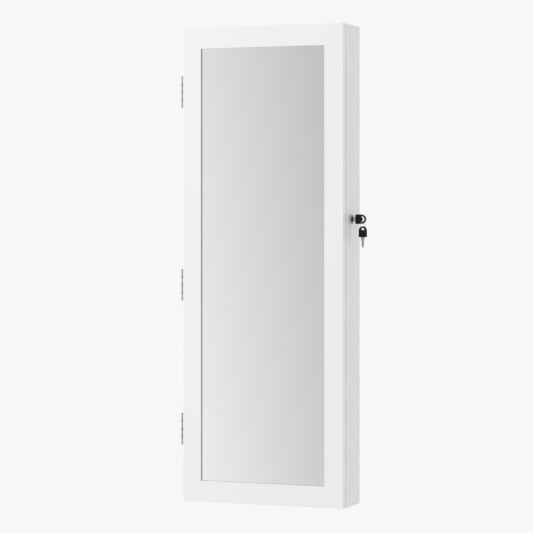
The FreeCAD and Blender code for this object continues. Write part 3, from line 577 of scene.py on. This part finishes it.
def silvered_glass(name):
    """A mirror: a bright, even silvering, all but sharp, with a trace of wiping in its gloss."""
    material, tree, shader, place = start_material(name, {"Metallic": 1})
    smear = add_node(tree, "ShaderNodeTexNoise", {"Scale": 1 / smear_width, "Detail": 3.0}, {"Vector": place})
    gloss = add_node(tree, "ShaderNodeMapRange", {
        "From Min": 0.45, "To Min": 0.0, "To Max": 0.02}, {"Value": smear.outputs[0]})
    tree.links.new(gloss.outputs[0], shader.inputs["Roughness"])
    ripple = add_node(tree, "ShaderNodeTexNoise", {
        "Scale": 1 / glass_ripple, "Detail": 0.0}, {"Vector": place})
    lay_finish(tree, shader, smear.outputs[0], "#EFEFEF", "#F2F2F2", ripple.outputs[0], ripple_depth, 0.3)
    return material


dress(silvered_glass("silvered_float_glass"), "mirror_glass")
dress(hardboard("brown_hardboard", "#8A6A49", "#5F452E", 0.62), "mirror_backing")

# ---- Earring bars ----
# Flat aluminium bars on hexagonal spacers, brushed along their length and anodised. Earrings hang through
# the slots.
brush_length, brush_width = 0.02, 0.0004
brush_depth = 0.00002
deburred_rounding = 0.00025


def anodised_aluminium(name):
    """Brushed, then anodised: a satin metal with fine lines along X."""
    material, tree, shader, place = start_material(name, {"Metallic": 1})
    along = add_node(tree, "ShaderNodeMapping", {
        "Scale": (1 / brush_length, 1 / brush_width, 1 / brush_width)}, {"Vector": place})
    lines = add_node(tree, "ShaderNodeTexNoise", {"Scale": 1.0, "Detail": 3.0}, {"Vector": along.outputs[0]})
    gloss = add_node(tree, "ShaderNodeMapRange", {
        "To Min": 0.28, "To Max": 0.44}, {"Value": lines.outputs[0]})
    tree.links.new(gloss.outputs[0], shader.inputs["Roughness"])
    lay_finish(tree, shader, lines.outputs[0], "#B9BABC", "#D8D9DB", lines.outputs[0], brush_depth, 0.4)
    return material


brushed_aluminium = anodised_aluminium("brushed_anodised_aluminium")
for node in ("upper_earring_bar", "middle_earring_bar", "lower_earring_bar"):
    bar = rounded_copy(node, "deburred_" + node, deburred_rounding)
    finish_piece(bar, brushed_aluminium, "door", "anodised_aluminium", node)

# ---- Hinges ----
# Three loose-fitting butt hinges of nickel-plated steel. Four knuckles of each wrap a plain steel pin, two on
# the cabinet's leaf and two on the door's.
plating_cloud = 0.004  # the plating's polish changes over this width
rolling_line = 0.00025  # lines that the rolled sheet keeps
rolling_depth = 0.00001
knuckle_count = 4
knuckle_reach = 0.0035  # from the pin's middle, just past the knuckles' faces
press_rounding = 0.0002  # of an edge left by the press
joint_shade_reach = 0.0015  # of the painted shade on each side of a joint between knuckles


def plated_metal(name, bright, dull, shiny, matt):
    """Plated sheet or wire: a clean metal face, cloudy polish and faint lines left from rolling."""
    material, tree, shader, place = start_material(name, {"Metallic": 1})
    cloud = add_node(tree, "ShaderNodeTexNoise", {
        "Scale": 1 / plating_cloud, "Detail": 3.0}, {"Vector": place})
    gloss = add_node(tree, "ShaderNodeMapRange", {
        "To Min": shiny, "To Max": matt}, {"Value": cloud.outputs[0]})
    tree.links.new(gloss.outputs[0], shader.inputs["Roughness"])
    flat = add_node(tree, "ShaderNodeMapping", {
        "Scale": (1 / rolling_line, 1 / rolling_line, 1 / brush_length)}, {"Vector": place})
    lines = add_node(tree, "ShaderNodeTexNoise", {"Scale": 1.0, "Detail": 1.0}, {"Vector": flat.outputs[0]})
    lay_finish(tree, shader, cloud.outputs[0], dull, bright, lines.outputs[0], rolling_depth, 0.35)
    return material


def hinge_plate_painted_joint_shade(name):
    """Nickel plate of a warm grey, with dark bands painted as shade at the joints between the knuckles."""
    material = plated_metal(name, "#BBB2A9", "#A59D94", 0.3, 0.45)
    tree = material.node_tree
    place = add_node(tree, "ShaderNodeTexCoord").outputs["Object"]
    height = add_node(tree, "ShaderNodeSeparateXYZ", links={0: place}).outputs[2]
    level = add_node(tree, "ShaderNodeVectorMath", {"operation": "MULTIPLY", 1: (1, 1, 0)}, {0: place})
    pins = solid_boxes("hinge_pins")
    pin_line = (pins[0][0] + pins[0][1]) / 2
    out = add_node(tree, "ShaderNodeVectorMath", {
        "operation": "DISTANCE", 1: (pin_line.x, pin_line.y, 0)}, {0: level.outputs[0]})
    by_pin = add_node(tree, "ShaderNodeMath", {
        "operation": "LESS_THAN", 1: knuckle_reach}, {0: out.outputs["Value"]})
    joints = None
    for low, high in pins:
        up = add_node(tree, "ShaderNodeMath", {"operation": "SUBTRACT", 1: low.z}, {0: height})
        away = add_node(tree, "ShaderNodeMath", {
            "operation": "PINGPONG", 1: (high.z - low.z) / knuckle_count / 2}, {0: up.outputs[0]})
        near = add_node(tree, "ShaderNodeMapRange", {
            "From Min": joint_shade_reach / 2, "From Max": joint_shade_reach, "To Min": 1.0, "To Max": 0.0},
            {"Value": away.outputs[0]})
        here = add_node(tree, "ShaderNodeMath", {
            "operation": "COMPARE", 1: (low.z + high.z) / 2, 2: (high.z - low.z) / 2}, {0: height})
        joint = add_node(tree, "ShaderNodeMath", {"operation": "MULTIPLY"}, {
            0: near.outputs[0], 1: here.outputs[0]})
        if joints:
            joint = add_node(tree, "ShaderNodeMath", {"operation": "MAXIMUM"}, {
                0: joint.outputs[0], 1: joints.outputs[0]})
        joints = joint
    joint_shade = add_node(tree, "ShaderNodeMath", {"operation": "MULTIPLY"}, {
        0: by_pin.outputs[0], 1: joints.outputs[0]})
    # Painted shade at the knuckle joints.
    paint_shade_over(material, joint_shade.outputs[0], "#3B3732")
    return material


hinge_plate = hinge_plate_painted_joint_shade("hinge_plate_painted_joint_shade")
bright_nickel = plated_metal("bright_nickel_plate", "#C9C1B8", "#B4ACA3", 0.18, 0.32)
for node, body, plate in (
        ("hinge_leaves_cabinet", "cabinet", hinge_plate), ("hinge_leaves_door", "door", hinge_plate),
        ("strike_plate", "door", bright_nickel), ("catch_plate", "door", bright_nickel)):
    pressing = rounded_copy(node, "pressed_" + node, press_rounding)
    finish_piece(pressing, plate, body, "nickel_plated_steel", node)
dress(bright_nickel, "earring_spacers")
dress(plated_metal("drawn_steel_wire", "#8F8B86", "#7A7671", 0.3, 0.42), "hinge_pins")

# ---- Screws ----
# Small countersunk screws with a cross recess, zinc plated and lightly blued. They hold the hinge leaves, the
# strike, the catch and its plate, each flush with what it holds.
screw_head, screw_shank = 0.0026, 0.0014  # radii
screw_cone = screw_head - screw_shank
head_rim = 0.0002
screw_point, point_share = 0.0025, 0.15  # the point's length, and its end's share of the shank
screw_ends = 0.004  # the head, the point, and 0.1 mm by which the screw stays short
recess_reach, recess_width, recess_depth = 0.0017, 0.0007, 0.0013
recess_taper = 0.55

zinc_plate = plated_metal("blued_zinc_plate", "#CBCED2", "#AEB2B8", 0.22, 0.38)


def model_screw(length):
    """A screw at the origin, its head facing up Z: a turned body with a tapered cross cut out of the head."""
    deselect_all()
    bpy.ops.mesh.primitive_circle_add(vertices=32, radius=screw_head, fill_type="NGON")
    body = bpy.context.object
    bpy.ops.object.mode_set(mode="EDIT")
    bpy.ops.mesh.select_all(action="SELECT")
    for drop, share in ((head_rim, 1), (screw_cone, screw_shank / screw_head),
                        (length - screw_ends, 1), (screw_point, point_share)):
        bpy.ops.mesh.extrude_region_move(TRANSFORM_OT_translate={"value": (0, 0, -drop)})
        bpy.ops.transform.resize(value=(share, share, 1))
    bpy.ops.mesh.select_all(action="SELECT")
    bpy.ops.mesh.normals_make_consistent(inside=False)
    bpy.ops.object.mode_set(mode="OBJECT")
    for across, along in ((recess_width, recess_reach), (recess_reach, recess_width)):
        wing = add_block("wing", (-across, -along, -recess_depth), (across, along, recess_depth))
        bpy.ops.object.mode_set(mode="EDIT")
        pick(wing, "faces", lambda face: face.normal.z < -0.5)
        bpy.ops.transform.resize(value=(recess_taper, recess_taper, 1))
        bpy.ops.object.mode_set(mode="OBJECT")
        apply_modifier(body, "BOOLEAN", operation="DIFFERENCE", object=wing, solver="EXACT")
        bpy.data.objects.remove(wing)
    return body


def place_screws(node, body, axis, new_name):
    """Puts a screw on each of a CAD node's, its head towards -axis, and turns the recesses every way."""
    deep = max(range(3), key=lambda i: abs(axis[i]))
    screws = []
    for number, (low, high) in enumerate(solid_boxes(node)):
        screw = model_screw(high[deep] - low[deep])
        spot = (low + high) / 2
        spot[deep] = low[deep] if axis[deep] > 0 else high[deep]
        turn = (-Vector(axis)).to_track_quat("Z", "Y").to_matrix().to_4x4()
        wrench = Matrix.Rotation(radians(67 * number + 20), 4, "Z")
        screw.data.transform(Matrix.Translation(spot) @ turn @ wrench)
        screws.append(screw)
    group = join(new_name, screws)
    bpy.ops.object.shade_smooth_by_angle(angle=radians(30))
    finish_piece(group, zinc_plate, body, "zinc_plated_steel", node)


place_screws("hinge_screws_cabinet", "cabinet", (0, 1, 0), "cross_head_hinge_screws_cabinet")
place_screws("hinge_screws_door", "door", (0, -1, 0), "cross_head_hinge_screws_door")
place_screws("door_fitting_screws", "door", (0, -1, 0), "cross_head_door_fitting_screws")
place_screws("catch_screws", "cabinet", (0, 0, 1), "cross_head_catch_screws")

# ---- Magnetic catch and bumpers ----
# A white moulded case under the top board holds a ferrite magnet between two steel poles, which pull on the
# door's plate. Two felt dots on the right side's edge take the door's knock.
felt_fibre = 0.0009
felt_depth = 0.0002
felt_corner, felt_rounding = 0.002, 0.0004  # of a dot's outline, and of its front edge


def pressed_felt(name):
    """Pressed wool felt: matt, off-white and hairy at a fine scale."""
    material, tree, shader, place = start_material(name, {"Roughness": 1.0, "Sheen Weight": 0.4})
    fibre = add_node(tree, "ShaderNodeTexNoise", {
        "Scale": 1 / felt_fibre, "Detail": 4.0, "Distortion": 2.0}, {"Vector": place})
    lay_finish(tree, shader, fibre.outputs[0], "#CFCCC4", "#EFEDE7", fibre.outputs[0], felt_depth, 0.8)
    return material


def model_felt_dot(low, high):
    """A felt dot: a block with its four sides run round and its front edge eased."""
    dot = add_block("felt_dot", low, high)
    middle = (low.y + high.y) / 2
    bpy.ops.object.mode_set(mode="EDIT")
    pick(dot, "edges", lambda edge: abs(edge.verts[0].co.y - edge.verts[1].co.y) > (high.y - low.y) / 2)
    bpy.ops.mesh.bevel(offset=felt_corner, segments=5, affect="EDGES")
    pick(dot, "edges", lambda edge: all(end.co.y < middle for end in edge.verts))
    bpy.ops.mesh.bevel(offset=felt_rounding, segments=2, affect="EDGES")
    bpy.ops.object.mode_set(mode="OBJECT")
    return dot


dress(moulded_plastic("white_moulded_abs", "#ECEBE7", "#E3E2DD", 0.45, 0.00002), "catch_case")
dress(moulded_plastic("sintered_ferrite", "#303032", "#252527", 0.6, 0.00004), "catch_magnet")
dress(zinc_plate, "catch_poles")
felt = join("felt_door_pads", [model_felt_dot(low, high) for low, high in solid_boxes("door_bumpers")])
bpy.ops.object.shade_smooth_by_angle(angle=radians(40))
finish_piece(felt, pressed_felt("pressed_felt"), "cabinet", "felt", "door_bumpers")

# ---- Cam lock ----
# A die-cast, nickel-plated body: a domed bezel outside, and a threaded barrel with two flats that the nut
# clamps. The plug turns in it and carries the steel cam behind.
lock_low, lock_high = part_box("lock_housing")
lock_axis = (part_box("lock_plug")[0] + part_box("lock_plug")[1]) / 2
side_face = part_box("right_side_panel")[1].x
turn_steps = 64
bezel_radius = (lock_high.y - lock_low.y) / 2
bezel_ease = 0.0003  # height of the rim under the dome, and chamfer at the bore's mouth
bezel_back = bezel_radius - 0.0002
dome_height, dome_run = lock_high.x - side_face - bezel_ease, 0.0022
dome_steps = 8
bore_radius, head_bore_radius = 0.00638, 0.00748
head_seat = lock_high.x - 0.0024
barrel_radius, barrel_root = 0.0094, 0.0089
barrel_flats = 0.0164
thread_pitch = 0.0015
thread_start = lock_low.x + 0.0008
thread_end = side_face - 0.0015
thread_relief = 0.0012
plug_shade_radius = 0.0066  # radius of the painted shade in the middle of the plug's face
bezel_shade_radius = 0.0094  # radius of the painted shade on the bezel's face, inside its polished rim
painted_shade_blend = 0.0004
nut_rounding = 0.0005


def turn_profile(name, points):
    """Turns a closed outline of (X, radius) points once round the lock's axis."""
    deselect_all()
    bpy.ops.mesh.primitive_plane_add(size=0.001, location=lock_axis)
    piece = bpy.context.object
    piece.name = name
    bpy.ops.object.transform_apply(location=True, rotation=True, scale=True)
    bpy.ops.object.mode_set(mode="EDIT")
    bpy.ops.mesh.select_mode(type="VERT")
    bpy.ops.mesh.select_all(action="SELECT")
    bpy.ops.mesh.merge(type="CENTER")
    start = Vector((points[0][0], lock_axis.y, lock_axis.z + points[0][1]))
    bpy.ops.transform.translate(value=start - lock_axis)
    for (x0, r0), (x1, r1) in zip(points, points[1:] + points[:1]):
        bpy.ops.mesh.extrude_region_move(TRANSFORM_OT_translate={"value": (x1 - x0, 0, r1 - r0)})
    bpy.ops.mesh.select_all(action="SELECT")
    bpy.ops.mesh.remove_doubles(threshold=1e-6)
    bpy.ops.mesh.spin(steps=turn_steps, angle=2 * pi, center=lock_axis, axis=(1, 0, 0), use_auto_merge=False)
    bpy.ops.mesh.select_all(action="SELECT")
    bpy.ops.mesh.remove_doubles(threshold=1e-6)
    bpy.ops.mesh.normals_make_consistent(inside=False)
    bpy.ops.object.mode_set(mode="OBJECT")
    return piece


bezel_outline = [(side_face, bore_radius), (side_face, bezel_back)]
for i in range(dome_steps + 1):  # a quarter of an ellipse from the rim up to the face
    angle = pi / 2 * i / dome_steps
    bezel_outline.append((side_face + bezel_ease + dome_height * sin(angle),
                          bezel_radius - dome_run * (1 - cos(angle))))
bezel_outline += [(lock_high.x, head_bore_radius + bezel_ease), (lock_high.x - bezel_ease, head_bore_radius)]
bezel_outline += [(head_seat, head_bore_radius), (head_seat, bore_radius)]
lock_bezel = turn_profile("lock_bezel", bezel_outline)

barrel_outline = [(lock_low.x, bore_radius), (lock_low.x, barrel_root)]
for i in range(int((thread_end - thread_start) / thread_pitch)):
    crest = thread_start + (i + 0.5) * thread_pitch
    barrel_outline += [(crest - thread_pitch / 2, barrel_root), (crest, barrel_radius)]
barrel_outline += [(side_face - thread_relief, barrel_root), (side_face, barrel_root)]
barrel_outline += [(side_face, bore_radius)]
lock_barrel = turn_profile("lock_barrel", barrel_outline)
for way in (-1, 1):
    edge, outside = lock_axis.z + way * barrel_flats / 2, lock_axis.z + way * 2 * barrel_radius
    waste = add_block("waste", (lock_low.x - 0.001, lock_axis.y - 2 * barrel_radius, min(edge, outside)),
                      (side_face + 0.001, lock_axis.y + 2 * barrel_radius, max(edge, outside)))
    apply_modifier(lock_barrel, "BOOLEAN", operation="DIFFERENCE", object=waste, solver="EXACT")
    bpy.data.objects.remove(waste)
lock_body = join("turned_lock_body", [lock_bezel, lock_barrel])
bpy.ops.object.shade_smooth_by_angle(angle=radians(35))


def nickel_with_painted_shade(name, bright, dull, shiny, matt, shade_colour, reach):
    """Nickel plate on a round face: bright towards its rim, with painted shade within reach of the lock's
    axis.
    """
    material = plated_metal(name, bright, dull, shiny, matt)
    tree = material.node_tree
    place = add_node(tree, "ShaderNodeTexCoord").outputs["Object"]
    sideways = add_node(tree, "ShaderNodeVectorMath", {"operation": "MULTIPLY", 1: (0, 1, 1)}, {0: place})
    from_axis = add_node(tree, "ShaderNodeVectorMath", {
        "operation": "DISTANCE", 1: (0, lock_axis.y, lock_axis.z)}, {0: sideways.outputs[0]})
    within = add_node(tree, "ShaderNodeMapRange", {
        "From Min": reach - painted_shade_blend, "From Max": reach + painted_shade_blend, "To Min": 1.0, "To Max": 0.0},
        {"Value": from_axis.outputs["Value"]})
    paint_shade_over(material, within.outputs[0], shade_colour)
    return material


# The bezel's face and the plug's middle are painted darker as shade.
body_nickel = nickel_with_painted_shade("lock_nickel_painted_shade", "#C8C1B6", "#A9A196", 0.2, 0.34, "#6B6357", bezel_shade_radius)
finish_piece(lock_body, body_nickel, "cabinet", "nickel_plated_zinc", "lock_housing")
dress(nickel_with_painted_shade("plug_nickel_painted_shade", "#A8A196", "#918A7F", 0.26, 0.4, "#1C1712", plug_shade_radius), "lock_plug")
nut = rounded_copy("lock_nut", "chamfered_lock_nut", nut_rounding)
nut_nickel = plated_metal("nickel_on_die_cast_zinc", "#B8B1A6", "#9C958B", 0.2, 0.34)
finish_piece(nut, nut_nickel, "cabinet", "nickel_plated_zinc", "lock_nut")
cam = rounded_copy("lock_cam", "pressed_lock_cam", press_rounding)
finish_piece(cam, zinc_plate, "lock_plug", "zinc_plated_steel", "lock_cam")
dress(zinc_plate, "cam_screw")

# ---- Keys ----
# Two flat keys of nickel-plated brass, cut alike on both edges. Each blade is moulded into a black bow with a
# square base, a round arch and a crescent hole, its edges softly rounded.
bow_rounding = 0.0007

bow_plastic = moulded_plastic(
    "black_moulded_bow", "#262627", "#1C1C1D", 0.42, 0.00003, {"Specular IOR Level": 0.1})
for node, body in (("key_bow", "key"), ("spare_key_bow", "spare_key")):
    bow = rounded_copy(node, "rounded_" + node, bow_rounding)
    finish_piece(bow, bow_plastic, body, "black_bow_plastic", node)
key_nickel = plated_metal("nickel_plated_key_brass", "#D6D3CC", "#BFBBB3", 0.18, 0.32)
dress(key_nickel, "key_blade", "spare_key_blade")

# ---- Key ring ----
# One turn of round spring wire, bright plated, its two ends butted together. It hangs through the crescents
# of both bows.
wire_radius = 0.00045
ring_yaw = radians(23)  # turned from square to the key
ring_low, ring_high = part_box("key_ring")
ring_middle = (ring_low + ring_high) / 2
ring_radius = (ring_high.z - ring_low.z) / 2 - wire_radius
ring_axis = Vector((cos(ring_yaw), -sin(ring_yaw), 0))
butt_gap = radians(2)

deselect_all()
bpy.ops.mesh.primitive_circle_add(
    vertices=12, radius=wire_radius, fill_type="NGON", location=ring_middle + Vector((0, 0, ring_radius)),
    rotation=ring_axis.cross((0, 0, 1)).to_track_quat("Z", "Y").to_euler())
key_ring = bpy.context.object
key_ring.name = "wire_key_ring"
bpy.ops.object.transform_apply(location=True, rotation=True, scale=True)
bpy.ops.object.mode_set(mode="EDIT")
bpy.ops.mesh.select_all(action="SELECT")
bpy.ops.mesh.spin(steps=96, angle=2 * pi - butt_gap, center=ring_middle, axis=ring_axis, use_auto_merge=False)
bpy.ops.mesh.select_all(action="SELECT")
bpy.ops.mesh.remove_doubles(threshold=1e-7)
bpy.ops.mesh.normals_make_consistent(inside=False)
bpy.ops.object.mode_set(mode="OBJECT")
bpy.ops.object.shade_smooth_by_angle(angle=radians(40))
ring_wire = plated_metal("bright_plated_wire", "#B4B4B3", "#9A9A99", 0.18, 0.3)
finish_piece(key_ring, ring_wire, "ring", "ring_steel", "key_ring")
